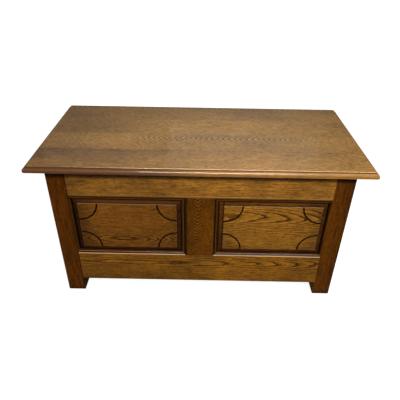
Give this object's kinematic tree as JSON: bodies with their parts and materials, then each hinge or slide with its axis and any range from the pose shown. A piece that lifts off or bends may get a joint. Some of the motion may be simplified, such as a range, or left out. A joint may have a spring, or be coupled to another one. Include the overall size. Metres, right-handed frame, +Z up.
{
  "type": "dough bin",
  "caption": "Panelled oak dough bin or chest on square posts, with raised fielded panels, bead mouldings and a nosed lift-up lid on rear butt hinges.",
  "frame": {"origin": "on the floor, under the middle of the lid's plan", "axes": "+Z up, +X along the chest to the right as seen from the front, -Y towards the front"},
  "size_m": [1.1, 0.53, 0.566],
  "materials": {
    "polished_oak": "satin",
    "back_oak": "matt",
    "raw_oak": "matt",
    "hinge_steel": "satin",
    "screw_brass": "satin"
  },
  "bodies": {
    "carcase": {"back_bottom_rail": "back_oak", "back_ledger": "raw_oak", "back_left_panel": "back_oak", "back_left_post": "polished_oak", "back_muntin": "back_oak", "back_right_panel": "back_oak", "back_right_post": "polished_oak", "back_top_rail": "back_oak", "floor_board_1": "raw_oak", "floor_board_2": "raw_oak", "floor_board_3": "raw_oak", "floor_board_4": "raw_oak", "floor_board_5": "raw_oak", "floor_board_6": "raw_oak", "floor_board_7": "raw_oak", "front_bottom_rail": "polished_oak", "front_ledger": "raw_oak", "front_left_bottom_bead": "polished_oak", "front_left_muntin_bead": "polished_oak", "front_left_panel": "polished_oak", "front_left_post": "polished_oak", "front_left_post_bead": "polished_oak", "front_left_top_bead": "polished_oak", "front_muntin": "polished_oak", "front_right_bottom_bead": "polished_oak", "front_right_muntin_bead": "polished_oak", "front_right_panel": "polished_oak", "front_right_post": "polished_oak", "front_right_post_bead": "polished_oak", "front_right_top_bead": "polished_oak", "front_top_rail": "polished_oak", "hinge_body_screws": "hinge_steel", "ledger_screws": "screw_brass", "left_beads": "polished_oak", "left_bottom_rail": "polished_oak", "left_hinge_body_leaf": "hinge_steel", "left_hinge_pin": "hinge_steel", "left_ledger": "raw_oak", "left_panel": "polished_oak", "left_top_rail": "polished_oak", "right_beads": "polished_oak", "right_bottom_rail": "polished_oak", "right_hinge_body_leaf": "hinge_steel", "right_hinge_pin": "hinge_steel", "right_ledger": "raw_oak", "right_panel": "polished_oak", "right_top_rail": "polished_oak"},
    "lid": {"batten_screws": "screw_brass", "hinge_lid_screws": "hinge_steel", "left_batten": "raw_oak", "left_hinge_lid_leaf": "hinge_steel", "lid_board_1": "polished_oak", "lid_board_2": "polished_oak", "lid_board_3": "polished_oak", "lid_board_4": "polished_oak", "right_batten": "raw_oak", "right_hinge_lid_leaf": "hinge_steel"}
  },
  "joints": [
    {"name": "lid_hinge", "type": "hinge", "parent": "carcase", "child": "lid", "pos_m": [0, 0.2398, 0.5372], "axis": [-1, 0, 0], "range_deg": [0, 100]}
  ]
}
